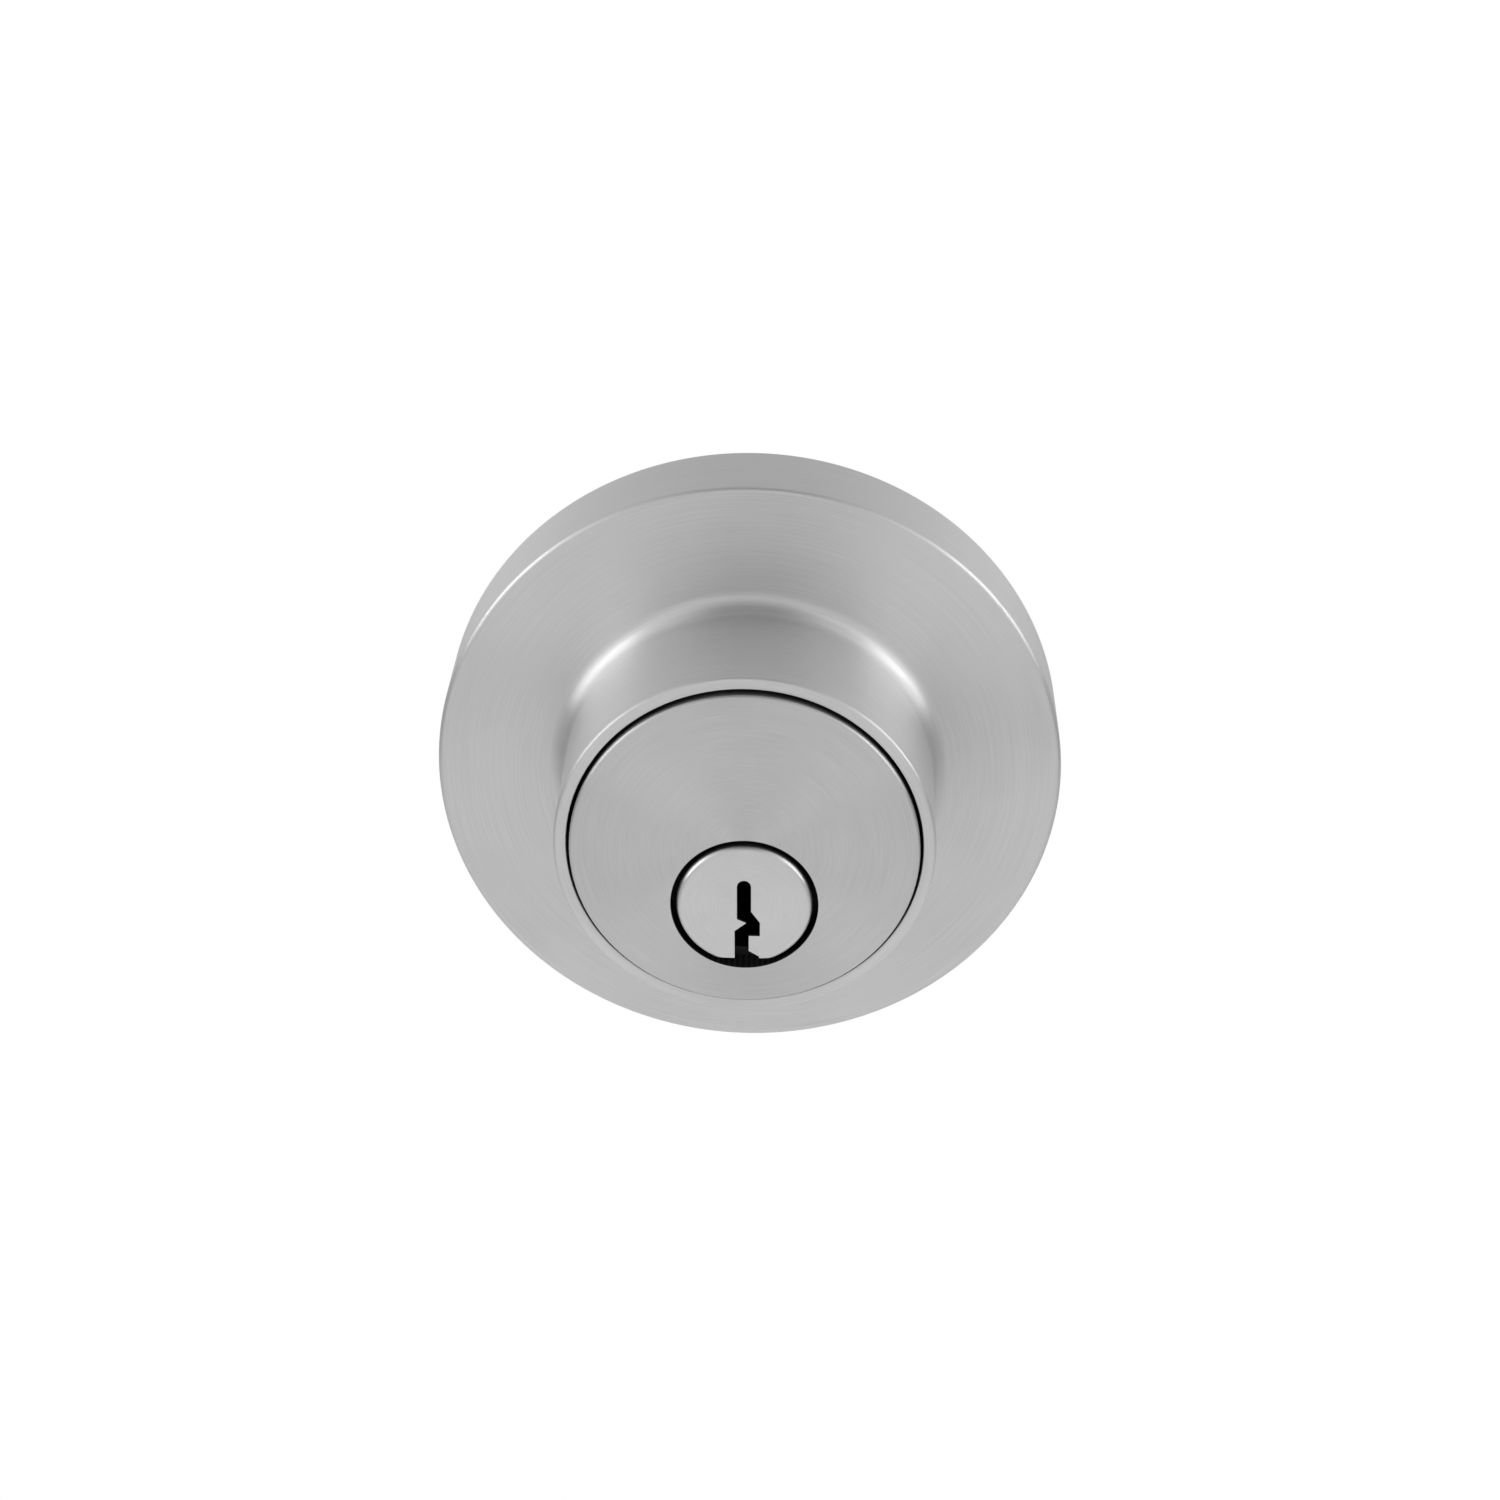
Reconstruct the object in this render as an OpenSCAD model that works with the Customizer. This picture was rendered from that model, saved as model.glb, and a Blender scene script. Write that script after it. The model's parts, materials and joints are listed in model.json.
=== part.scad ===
// Single-cylinder deadbolt for a timber or steel door.
// +Z is up, -Y is the outside of the door and +X is the door's free edge.
// The origin lies on the axis of the outside rose, in the plane of the door's outer face.

/* [Door] */
// Thickness of the door that the lock clamps
door_t = 44; // [38:1:56]
// Distance from the door's edge to the axis of the rose
backset = 60; // [58:1:74]
// Diameter of the edge bore that the bolt case slides into
edge_bore_d = 25.4; // [25:0.1:31]

/* [Outside rose] */
// Outside diameter of the rose
rose_d = 65; // [63:0.5:80]
// Height of the rose above the door
rose_h = 9; // [7.5:0.5:12]
// Outside diameter of the collar around the cylinder
collar_d = 38.3; // [38:0.1:46]
// Height of the collar above the rose
collar_h = 15.3; // [14:0.1:19]
// Thickness of the metal that the rose is drawn from
shell_t = 1.3; // [0.8:0.1:1.6]
// Radius of the fillet where the collar rises from the rose
base_fillet = 2.1; // [1:0.1:4]

/* [Cylinder] */
// Gap around the cylinder's face, inside the collar
face_gap = 0.3; // [0.2:0.05:0.5]
// How far the cylinder's face stands proud of the collar
face_proud = 0.4; // [0:0.05:1]
// Distance of the plug's axis below the axis of the rose
plug_drop = 6.3; // [5.5:0.1:7]
// Diameter of the plug where it turns in the cylinder
plug_d = 12.7; // [11:0.1:13.6]
// Diameter of the plug's head, which shows in the cylinder's face
plug_head_d = 13.7; // [13.2:0.1:14.8]
// Gap around the plug's head
head_gap = 0.6; // [0.3:0.05:0.9]
// Diameter of the pins
pin_d = 2.8; // [2.4:0.1:3]
// Distance from one pin chamber to the next
pin_pitch = 3.97; // [3.6:0.01:4]

/* [Bolt] */
// How far the bolt leaves the faceplate
bolt_throw = 25; // [20:0.5:25.4]
// Turn of the hub that throws the bolt
turn_angle = 90; // [90:1:110]
// Thickness of the bolt between its two flats
bolt_flat_t = 14; // [11:0.5:16]
// Height of the faceplate
faceplate_h = 57; // [54:0.5:68]
// Thickness of the faceplate
faceplate_t = 2.5; // [2:0.1:3.2]
// Distance between the two faceplate screws
faceplate_screw_span = 41.3; // [39:0.1:46]

/* [Inside unit] */
// Height of the inside rose above the door
inner_rose_h = 8; // [7:0.5:12]
// Length of the thumb turn's blade
blade_l = 36; // [30:1:42]
// Thickness of the thumb turn's blade
blade_t = 8; // [6:0.5:11]
// How far the thumb turn stands out from the inside rose
turn_h = 25; // [20:0.5:32]

/* [Fasteners] */
// Gap between the cylinder's body and each mounting post
post_gap = 0.85; // [0.6:0.05:1.5]
// Diameter of the mounting screws
screw_d = 4.8; // [4:0.1:5.4]

/* [Fits] */
// Radial clearance of a piece that turns or slides in a bore
running = 0.05; // [0.02:0.01:0.1]
// Clearance between pieces that are assembled and stay still
seated = 0.05; // [0.02:0.01:0.15]

/* [Hidden] */
$fn = 96;
eps = 0.01;
// Overlap of a cutting shape past the face that it cuts
past = 1;

// Outside rose and collar, as radii and as heights above the door
rose_r = rose_d / 2;
collar_r = collar_d / 2;
collar_ir = collar_r - shell_t;
nose = rose_h + collar_h;
edge_r = 0.5;
rim_r = 0.3;

// Cylinder: a flange that fills the collar and a slimmer body in the housing's sleeve
face_out = nose + face_proud;
flange_r = collar_ir - face_gap;
face_drop = face_gap * 2 / 3;
flange_h = 6.1;
seat_out = nose - flange_h;
sleeve_t = 2.1;
body_r = collar_ir - sleeve_t - 2 * seated;
body_back = 2.5;
face_edge_r = 0.3;

// Plug, its head and the pin chambers above it
plug_r = plug_d / 2;
plug_z = -plug_drop;
head_r = plug_head_d / 2;
head_t = 2.3;
head_proud = 0.3;
head_edge_r = 0.55;
head_flat = 6.1;
head_seat = face_out - head_t;
shear_z = plug_z + plug_r;
pin_r = pin_d / 2;
chamber_r = pin_r + running;
pin_count = 5;
first_pin = seat_out - 2;
chamber_roof = body_r - 2.3;
cover_t = 1.2;
cover_w = 3.6;
cover_end = 0.2;
chamber_floor = plug_z - 1.1;
// Hardened pins beside the plug, against drilling
guard_r = 1.25;
guard_x = plug_r + 3.2;
guard_l = 9;
pin_gap = 0.08;
pin_crown = 0.35;
// Key pin lengths step up with the depth of the key's cuts
shortest_pin = plug_r - 1.95;
pin_step = 0.38;
pin_tip_r = 0.45;
pin_point = 1.1;
driver_chamfer = 0.12;
driver_land = 0.8;
waist_cut = 0.45;
waist_slope = 0.3;
cut_depths = [3, 6, 1, 5, 2];
driver_l = 4.6;
spring_wire_r = 0.2;
spring_r = pin_r - 0.35;
spring_turns = 6;

// Keyway: upper stem, side ward and lower stem, about the plug's axis
keyway_back = body_back - 1.5;
stem_l = -0.74;
stem_r = 0.69;
stem_top = 3.0;
ward_l = -0.98;
ward_r = 0.45;
step_r = 1.58;

// Rear of the plug: neck, screwed cap and the tailpiece that the cap traps
neck_r = plug_r - 1;
neck_h = 4.1;
cap_r = plug_r + 1.2;
cap_h = 6;
cap_lip_t = 0.7;
cap_lip_r = 3.9;
cap_pin_r = 0.6;
cap_pin_x = plug_r - 0.75;
cap_pin_y0 = -2;
cap_pin_l = 3;
cap_front = body_back + 0.1;
tail_disc_r = 4.6;
tail_disc_t = 1.1;
tail_w = 5.6;
tail_t = 1.6;
tail_slot_gap = 0.15;

// Circlips: depth of their grooves, and the cylinder's own ring
clip_groove = 0.9;
clip_ring_t = 1.1;
clip_room = 0.3;
clip_mouth = 5;

// Housing and posts
web_t = 2.6;
web_rim_t = 3;
// The housing stops short of the door, so that the rose's rim seats on it
housing_back = 0.4;
boss_r = 5.6;
post_r = 4.5;
post_neck_r = 3.6;
screw_reach = body_r + post_gap + post_r;
post_root = 4;
post_end = 12;
screw_r = screw_d / 2;
plate_r = screw_reach + post_neck_r + 0.4;
plate_t = 2.5;
plate_clear = 0.6;
plate_window_r = cap_r + 1.6;

// Bolt case: round where the bolt slides, flattened where the hub turns
bolt_y = door_t / 2;
case_r = edge_bore_d / 2 - 0.3;
case_wall = 1.1;
post_shoulder = min(5, bolt_y - case_r - plate_t - plate_clear);
case_ir = case_r - case_wall;
hub_flat = 6;
hub_wall = 1;
hub_room = hub_flat - hub_wall;
case_rear = -20;
case_round = 20;
backing_t = 1.5;
case_front = backset - faceplate_t - backing_t;
case_top_cut = 7.5;
case_cut_x = 18.4;
rivet_r = 1.2;
rivet_head_r = 2.1;
rivet_head_h = 0.7;
rivet_x = 14;
rivet_z = -6;
leaf_l = 16;
leaf_w = 4;
leaf_t = 0.35;
leaf_lift = 0.1;
leaf_under_hub = 0.3;

// Bolt, bar and hub: the hub's stud drives a fork in the bar
crank = bolt_throw / (2 * sin(turn_angle / 2));
stud_r = 1.5;
stud_lag = 0.65;
arm_tip_r = 2.6;
arm_y0 = bolt_y - 4.7;
arm_y1 = bolt_y - 1.9;
bar_y0 = bolt_y - 1.6;
bar_y1 = bolt_y + 1.6;
bar_top = 6;
fork_x = -bolt_throw / 2;
fork_leg = 2.9;
fork_top = min(12, case_r - 0.25);
fork_floor = plug_z + crank * cos(turn_angle / 2) - stud_r - 0.4;
hub_r = 3.9;
hub_end = hub_flat + 0.7;
bolt_r = case_ir - 0.4;
bolt_rear = backset - 35.5;
socket_l = 9;
bolt_pin_r = 1.5;
bolt_pin_x = bolt_rear + 4.5;
bolt_pin_z = 3;
roller_r = 1.8;
roller_off = bolt_flat_t / 2 - 2.7;
roller_x0 = bolt_pin_x + bolt_pin_r + 0.5;
roller_x1 = backset - 2.7;
nose_chamfer = 1;

// Faceplate
faceplate_w = edge_bore_d;
faceplate_corner = 3.2;
opening_gap = 0.3;
wood_screw_r = 2;
wood_neck_r = 1.6;
wood_head_r = 4.1;
wood_head_h = 2.1;
wood_screw_l = 19;

// Inside unit
inner_plate_r = rose_r - 3.5;
inner_plate_t = 2;
pan_head_r = 4.2;
pan_head_h = 2.3;
inner_face = door_t + inner_rose_h;
boss_ring_r = 13;
boss_ring_h = 2.6;
spindle_r = 6.5;
spindle_back = door_t + 3;
bush_t = 2;
bush_front = inner_face + boss_ring_h + 0.7;
bush_flange_r = 10.5;
bush_flange_t = 1.1;
turn_base_r = 11.5;
turn_base_t = 3.4;
turn_back = bush_front + 0.3;
turn_front = inner_face + turn_h;
clip_t = 0.8;
washer_t = 0.5;
lug_w = 8;
lug_h = 3.6;
lug_t = 2.5;
set_screw_r = 1.25;

// Points of an arc about c, from angle a to angle b
function arc(c, r, a, b, n = 8) = [
    for (i = [0:n])
        c + r * [cos(a + (b - a) * i / n), sin(a + (b - a) * i / n)]
];

// Distance of pin chamber i from the door's outer face, outwards
function pin_out(i) = first_pin - (i - 1) * pin_pitch;

// A bar of round section along one axis, between two stations
module rod_x(r, x0, x1, y = 0, z = 0) {
    translate([x0, y, z]) rotate([0, 90, 0]) cylinder(r = r, h = x1 - x0);
}

module rod_y(r, y0, y1, x = 0, z = 0) {
    translate([x, y0, z]) rotate([-90, 0, 0]) cylinder(r = r, h = y1 - y0);
}

module rod_z(r, z0, z1, x = 0, y = 0) {
    translate([x, y, z0]) cylinder(r = r, h = z1 - z0);
}

module block(low, high) {
    translate(low) cube(high - low);
}

// Turns an outline about the Y axis; its first number is a radius,
// its second is the distance out from the door's outer face
module turned(points) {
    rotate([90, 0, 0]) rotate_extrude() polygon(points);
}

// Extrudes an outline drawn in X and Z, between two Y stations
module along_y(y0, y1) {
    translate([0, y1, 0]) rotate([90, 0, 0]) linear_extrude(y1 - y0) children();
}

// Extrudes an outline drawn in Y and Z, between two X stations
module along_x(x0, x1) {
    translate([x0, 0, 0]) rotate([90, 0, 90]) linear_extrude(x1 - x0) children();
}

// A coil of round wire that stands on z0
module coil(r, wire, z0, z1, turns) {
    steps = turns * 10;
    sides = 5;
    rise = z1 - z0 - 2 * wire;
    polyhedron(
        points = [
            for (i = [0:steps], j = [0:sides - 1])
                let (a = 36 * i, b = 360 * j / sides, q = r + wire * cos(b))
                [q * cos(a), q * sin(a), z0 + wire + rise * i / steps + wire * sin(b)]
        ],
        faces = concat(
            [[for (j = [0:sides - 1]) j]],
            [
                for (i = [0:steps - 1], j = [0:sides - 1])
                    let (k = (j + 1) % sides)
                    [sides * i + j, sides * (i + 1) + j, sides * (i + 1) + k, sides * i + k]
            ],
            [[for (j = [0:sides - 1]) sides * steps + sides - 1 - j]]
        )
    );
}

// Circle cut by two flats, in Y and Z about the bolt's axis
module flatted(r, flat) {
    translate([bolt_y, 0]) intersection() {
        circle(r = r);
        square([2 * flat, 4 * r], center = true);
    }
}

// Outside unit

module outer_rose() {
    color("silver") turned(concat(
        [[rose_r - shell_t, 0], [rose_r, 0]],
        arc([rose_r - edge_r, rose_h - edge_r], edge_r, 0, 90),
        arc([collar_r + base_fillet, rose_h + base_fillet], base_fillet, 270, 180, 12),
        arc([collar_r - rim_r, nose - rim_r], rim_r, 0, 90),
        [
            [collar_ir, nose],
            [collar_ir, rose_h - shell_t],
            [rose_r - shell_t, rose_h - shell_t]
        ]
    ));
}

module cylinder_housing() {
    web_out = rose_h - shell_t - seated;
    rim = rose_r - shell_t - seated;
    sleeve_r = collar_ir - seated;
    color("dimgray") difference() {
        union() {
            turned([
                [body_r + seated, housing_back], [sleeve_r, housing_back],
                [sleeve_r, web_out - web_t], [rim - web_rim_t, web_out - web_t],
                [rim - web_rim_t, housing_back], [rim, housing_back],
                [rim, web_out], [sleeve_r, web_out],
                [sleeve_r, seat_out], [body_r + seated, seat_out]
            ]);
            for (s = [-1, 1])
                rod_y(boss_r, -web_out, -housing_back, 0, s * screw_reach);
        }
        rod_y(body_r + seated, -nose, past);
        for (s = [-1, 1])
            rod_y(post_r + seated, -post_root - seated, past, 0, s * screw_reach);
    }
}

module mounting_posts() {
    color("gray") for (s = [-1, 1]) difference() {
        union() {
            rod_y(post_r, -post_root, post_shoulder, 0, s * screw_reach);
            rod_y(post_neck_r, post_shoulder, post_end, 0, s * screw_reach);
        }
        rod_y(screw_r + seated, -1, post_end + past, 0, s * screw_reach);
    }
}

module reinforcing_plate() {
    y0 = post_shoulder + seated;
    color("slategray") difference() {
        rod_y(plate_r, y0, y0 + plate_t);
        for (s = [-1, 1])
            rod_y(post_neck_r + seated, y0 - past, y0 + plate_t + past, 0, s * screw_reach);
        rod_y(plate_window_r, y0 - past, y0 + plate_t + past, 0, plug_z);
    }
}

module cylinder_body() {
    groove_y = seated - housing_back;
    color("lightgray") difference() {
        union() {
            rod_y(body_r, -seat_out - past, body_back);
            // The face sits low in the collar
            translate([0, 0, -face_drop]) turned(concat(
                [[0, seat_out], [flange_r, seat_out]],
                arc([flange_r - face_edge_r, face_out - face_edge_r], face_edge_r, 0, 90, 5),
                [[0, face_out]]
            ));
        }
        rod_y(plug_r + running, -face_out - past, body_back + past, 0, plug_z);
        rod_y(head_r + head_gap, -face_out - past, -head_seat, 0, plug_z);
        for (i = [1:pin_count])
            rod_z(chamber_r, plug_z, body_r + past, 0, -pin_out(i));
        block(
            [-cover_w / 2 - seated, -pin_out(1) - chamber_r - cover_end - 0.1, chamber_roof],
            [cover_w / 2 + seated, -pin_out(pin_count) + chamber_r + cover_end + 0.1, body_r + past]
        );
        // Groove for the circlip
        difference() {
            rod_y(body_r + past, groove_y, groove_y + clip_ring_t + 2 * seated);
            rod_y(body_r - clip_groove, groove_y - past, groove_y + clip_ring_t + past);
        }
        for (s = [-1, 1])
            rod_y(guard_r + seated, -seat_out - 1, body_back + past, s * guard_x, plug_z);
    }
}

// Ring with a gap at the bottom, pushed into the groove behind the housing
module cylinder_circlip() {
    y0 = 2 * seated - housing_back;
    color("gray") difference() {
        rod_y(body_r + post_gap - clip_room, y0, y0 + clip_ring_t);
        rod_y(body_r - clip_groove + seated, y0 - past, y0 + clip_ring_t + past);
        block([-clip_mouth, y0 - past, -2 * body_r], [clip_mouth, y0 + clip_ring_t + past, 0]);
    }
}

module drill_guard_pins() {
    color("darkgray") for (s = [-1, 1])
        rod_y(guard_r, -seat_out - 0.9, -seat_out + guard_l, s * guard_x, plug_z);
}

module chamber_cover() {
    color("goldenrod") block(
        [-cover_w / 2, -pin_out(1) - chamber_r - cover_end, chamber_roof + seated],
        [cover_w / 2, -pin_out(pin_count) + chamber_r + cover_end, chamber_roof + seated + cover_t]
    );
}

// Opening for the key, drawn about the plug's axis
module keyway() {
    polygon(concat(
        arc([(stem_l + stem_r) / 2, stem_top - stem_r], (stem_r - stem_l) / 2, 0, 180, 6),
        [
            [stem_l, -1.5], [0.2, -1.95], [ward_l, -2.9],
            [ward_l, -plug_r - past], [1.5, -plug_r - past], [1.5, -5.9],
            [ward_r, -5.25], [ward_r, -3.47], [step_r, -3.47],
            [step_r, -1.9], [stem_r, -0.6]
        ]
    ));
}

module plug() {
    head_out = face_out + head_proud;
    color("gainsboro") translate([0, 0, plug_z]) difference() {
        union() {
            turned(concat(
                [[0, -body_back - neck_h], [neck_r, -body_back - neck_h]],
                [[neck_r, -body_back], [plug_r, -body_back]],
                [[plug_r, head_seat + 0.1], [head_r, head_seat + 0.1]],
                arc([head_r - head_edge_r, head_out - head_edge_r], head_edge_r, 0, 90, 6),
                [[0, head_out]]
            ));
        }
        along_y(-head_out - past, keyway_back) keyway();
        block(
            [-head_r, -head_out - past, -head_r - past],
            [head_r, -head_seat, -head_flat]
        );
        for (i = [1:pin_count])
            rod_z(chamber_r, chamber_floor - plug_z, plug_r + past, 0, -pin_out(i));
        rod_y(cap_pin_r + seated, cap_pin_y0, body_back + neck_h + past, cap_pin_x, 0);
    }
}

module plug_cap() {
    color("darkkhaki") translate([0, 0, plug_z]) difference() {
        rod_y(cap_r, cap_front, cap_front + cap_h);
        rod_y(neck_r + seated, cap_front - past, cap_front + cap_h - cap_lip_t);
        rod_y(cap_lip_r, cap_front, cap_front + cap_h + past);
        rod_y(cap_pin_r + seated, cap_front - past, cap_front + cap_pin_l, cap_pin_x, 0);
    }
}

module cap_pin() {
    color("goldenrod")
        rod_y(cap_pin_r, cap_pin_y0 + 0.1, cap_front + cap_pin_l - 0.1, cap_pin_x, plug_z);
}

// Flat bar that carries the turn from the plug through the hub to the thumb turn
module tailpiece() {
    lip = cap_front + cap_h - cap_lip_t;
    color("darkgray") translate([0, 0, plug_z]) union() {
        rod_y(tail_disc_r, lip - 0.05 - tail_disc_t, lip - 0.05);
        block(
            [-tail_t / 2, lip - 0.1, -tail_w / 2],
            [tail_t / 2, turn_back - 1, tail_w / 2]
        );
    }
}

module key_pin(i) {
    l = shortest_pin + pin_step * cut_depths[i - 1];
    top = shear_z - pin_gap;
    color("peru") translate([0, -pin_out(i), top - l]) rotate_extrude() polygon([
        [0, 0], [pin_tip_r, 0], [pin_r, pin_point],
        [pin_r, l - pin_crown], [pin_r - pin_crown, l], [0, l]
    ]);
}

// The second and fourth drivers are waisted against picking
module driver_pin(i) {
    waist = i % 2 == 0 ? pin_r - waist_cut : pin_r;
    c = driver_chamfer;
    slope = driver_land + waist_slope;
    color("silver") translate([0, -pin_out(i), shear_z + pin_gap]) rotate_extrude() polygon([
        [0, 0], [pin_r - c, 0], [pin_r, c],
        [pin_r, driver_land], [waist, slope],
        [waist, driver_l - slope], [pin_r, driver_l - driver_land],
        [pin_r, driver_l - c], [pin_r - c, driver_l], [0, driver_l]
    ]);
}

module pin_spring(i) {
    bottom = shear_z + pin_gap + driver_l + 0.02;
    color("darkkhaki") translate([0, -pin_out(i), 0])
        coil(spring_r, spring_wire_r, bottom, chamber_roof - 0.02, spring_turns);
}

// Bolt

// Outline of the case's rear, open at the top for the crank
module case_shape(r, flat, x0, x1, wall) {
    along_x(x0, case_round + wall) flatted(r, flat);
    along_x(case_round, x1) translate([bolt_y, 0]) circle(r = r);
}

module case_half(side) {
    inner_y0 = side < 0 ? bolt_y - case_r - past : bolt_y;
    difference() {
        case_shape(case_r, hub_flat, case_rear, case_front, 0);
        along_x(case_rear + hub_wall, case_round + case_wall) flatted(case_ir, hub_room);
        along_x(case_round + case_wall, case_front + past)
            translate([bolt_y, 0]) circle(r = case_ir);
        block(
            [-case_cut_x, bolt_y - hub_room, case_top_cut],
            [case_cut_x, bolt_y + hub_room, case_r + past]
        );
        rod_y(hub_r + running, bolt_y - case_r, bolt_y + case_r, 0, plug_z);
        for (s = [-1, 1])
            rod_y(rivet_r + seated, bolt_y - case_r, bolt_y + case_r, s * rivet_x, rivet_z);
        block(
            [case_rear - past, inner_y0 + (side < 0 ? case_r + past : -case_r - past), -2 * case_r],
            [case_front + past, inner_y0 + (side < 0 ? 2 * case_r + 2 * past : 0), 2 * case_r]
        );
    }
}

module case_half_outer() {
    color("lightsteelblue") case_half(-1);
}

module case_half_inner() {
    color("lightsteelblue") case_half(1);
}

module case_rivets() {
    y0 = bolt_y - hub_flat;
    y1 = bolt_y + hub_flat;
    color("gray") for (s = [-1, 1]) {
        rod_y(rivet_r, y0, y1, s * rivet_x, rivet_z);
        rod_y(rivet_head_r, y0 - rivet_head_h, y0, s * rivet_x, rivet_z);
        rod_y(rivet_head_r, y1, y1 + rivet_head_h, s * rivet_x, rivet_z);
    }
}

// Bowed leaf in the bottom of the case: feet on its floor, middle close under the hub
module detent_spring() {
    foot = leaf_lift - sqrt(case_ir * case_ir - leaf_w * leaf_w / 4);
    crown = plug_z - hub_r - leaf_under_hub;
    color("darkkhaki") along_y(bolt_y - leaf_w / 2, bolt_y + leaf_w / 2) polygon([
        [-leaf_l / 2, foot], [-leaf_l / 4, crown - leaf_t],
        [leaf_l / 4, crown - leaf_t], [leaf_l / 2, foot],
        [leaf_l / 2, foot + leaf_t], [leaf_l / 4, crown],
        [-leaf_l / 4, crown], [-leaf_l / 2, foot + leaf_t]
    ]);
}

module bolt_head() {
    color("silver") difference() {
        intersection() {
            along_x(bolt_rear, backset) flatted(bolt_r, bolt_flat_t / 2);
            // Chamfered nose
            translate([bolt_rear, bolt_y, 0]) rotate([0, 90, 0]) rotate_extrude() polygon([
                [0, 0], [bolt_r, 0], [bolt_r, backset - bolt_rear - nose_chamfer],
                [bolt_r - nose_chamfer, backset - bolt_rear], [0, backset - bolt_rear]
            ]);
        }
        block(
            [bolt_rear - past, bar_y0 - 0.1, -0.1],
            [bolt_rear + socket_l, bar_y1 + 0.1, bar_top + 0.1]
        );
        rod_y(bolt_pin_r + seated, bolt_y - bolt_r, bolt_y + bolt_r, bolt_pin_x, bolt_pin_z);
        for (s = [-1, 1])
            rod_x(roller_r + running, bolt_rear - past, roller_x1 + 0.2,
                  bolt_y + s * roller_off, bolt_pin_z);
    }
}

module bolt_bar() {
    color("slategray") difference() {
        union() {
            block(
                [fork_x - stud_r - stud_lag - fork_leg, bar_y0, 0],
                [bolt_rear + socket_l - 0.2, bar_y1, bar_top]
            );
            block(
                [fork_x - stud_r - stud_lag - fork_leg, bar_y0, 0],
                [fork_x + stud_r + stud_lag + fork_leg, bar_y1, fork_top]
            );
        }
        block(
            [fork_x - stud_r - stud_lag, bar_y0 - past, fork_floor],
            [fork_x + stud_r + stud_lag, bar_y1 + past, fork_top + past]
        );
        rod_y(bolt_pin_r + seated, bar_y0 - past, bar_y1 + past, bolt_pin_x, bolt_pin_z);
    }
}

module bolt_pin() {
    half = bolt_flat_t / 2;
    color("gray") rod_y(bolt_pin_r, bolt_y - half, bolt_y + half, bolt_pin_x, bolt_pin_z);
}

module saw_roller(s) {
    color("dimgray") rod_x(roller_r, roller_x0, roller_x1, bolt_y + s * roller_off, bolt_pin_z);
}

module saw_roller_outer() {
    saw_roller(-1);
}

module saw_roller_inner() {
    saw_roller(1);
}

// Barrel with a crank arm and a stud, drawn with the bolt drawn back
module bolt_hub() {
    slot = [tail_t + 2 * tail_slot_gap, tail_w + 2 * tail_slot_gap];
    color("steelblue") translate([0, 0, plug_z]) difference() {
        union() {
            rod_y(hub_r, bolt_y - hub_end, bolt_y + hub_end);
            rotate([0, -turn_angle / 2, 0]) {
                along_y(arm_y0, arm_y1) polygon([
                    [-hub_r * 0.8, 0], [hub_r * 0.8, 0], [arm_tip_r, crank], [-arm_tip_r, crank]
                ]);
                rod_y(arm_tip_r, arm_y0, arm_y1, 0, crank);
                rod_y(stud_r, arm_y1 - eps, bar_y1 + 0.6, 0, crank);
            }
        }
        block(
            [-slot[0] / 2, bolt_y - hub_end - past, -slot[1] / 2],
            [slot[0] / 2, bolt_y + hub_end + past, slot[1] / 2]
        );
    }
}

module faceplate_outline(shrink) {
    w = faceplate_w / 2 - shrink;
    h = faceplate_h / 2 - shrink;
    c = faceplate_corner;
    translate([bolt_y, 0]) polygon(concat(
        arc([w - c, h - c], c, 0, 90, 6),
        arc([c - w, h - c], c, 90, 180, 6),
        arc([c - w, c - h], c, 180, 270, 6),
        arc([w - c, c - h], c, 270, 360, 6)
    ));
}

module faceplate() {
    x0 = backset - faceplate_t;
    color("silver") difference() {
        along_x(x0, backset) faceplate_outline(0);
        along_x(x0 - past, backset + past)
            flatted(bolt_r + opening_gap, bolt_flat_t / 2 + opening_gap);
        for (s = [-1, 1]) {
            rod_x(wood_screw_r + 0.25, x0 - past, backset + past, bolt_y, s * screw_z());
            translate([backset - wood_head_h - 0.1, bolt_y, s * screw_z()])
                rotate([0, 90, 0])
                cylinder(r1 = wood_screw_r + 0.25, r2 = wood_head_r + 0.25, h = wood_head_h + 0.1);
        }
    }
}

// Height of the faceplate screws above and below the bolt
function screw_z() = faceplate_screw_span / 2;

module faceplate_backing() {
    x0 = case_front + seated;
    x1 = backset - faceplate_t - seated;
    color("gray") difference() {
        along_x(x0, x1) faceplate_outline(0.4);
        along_x(x0 - past, x1 + past)
            flatted(bolt_r + opening_gap, bolt_flat_t / 2 + opening_gap);
        for (s = [-1, 1])
            rod_x(wood_screw_r + 0.25, x0 - past, x1 + past, bolt_y, s * screw_z());
    }
}

// Countersunk wood screws with a cross recess
module faceplate_screws() {
    tip = 3;
    color("lightgray") for (s = [-1, 1]) difference() {
        translate([backset, bolt_y, s * screw_z()]) rotate([0, -90, 0]) rotate_extrude() polygon([
            [0, 0.1], [wood_head_r, 0.1], [wood_neck_r, wood_head_h],
            [wood_neck_r, backset - case_front], [wood_screw_r, backset - case_front],
            [wood_screw_r, wood_screw_l - tip], [0.2, wood_screw_l], [0, wood_screw_l]
        ]);
        for (a = [0, 90])
            translate([backset - 1.3, bolt_y, s * screw_z()]) rotate([a, 0, 0])
                block([0, -0.4, -2.1], [1 + past, 0.4, 2.1]);
    }
}

// Inside unit

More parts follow.
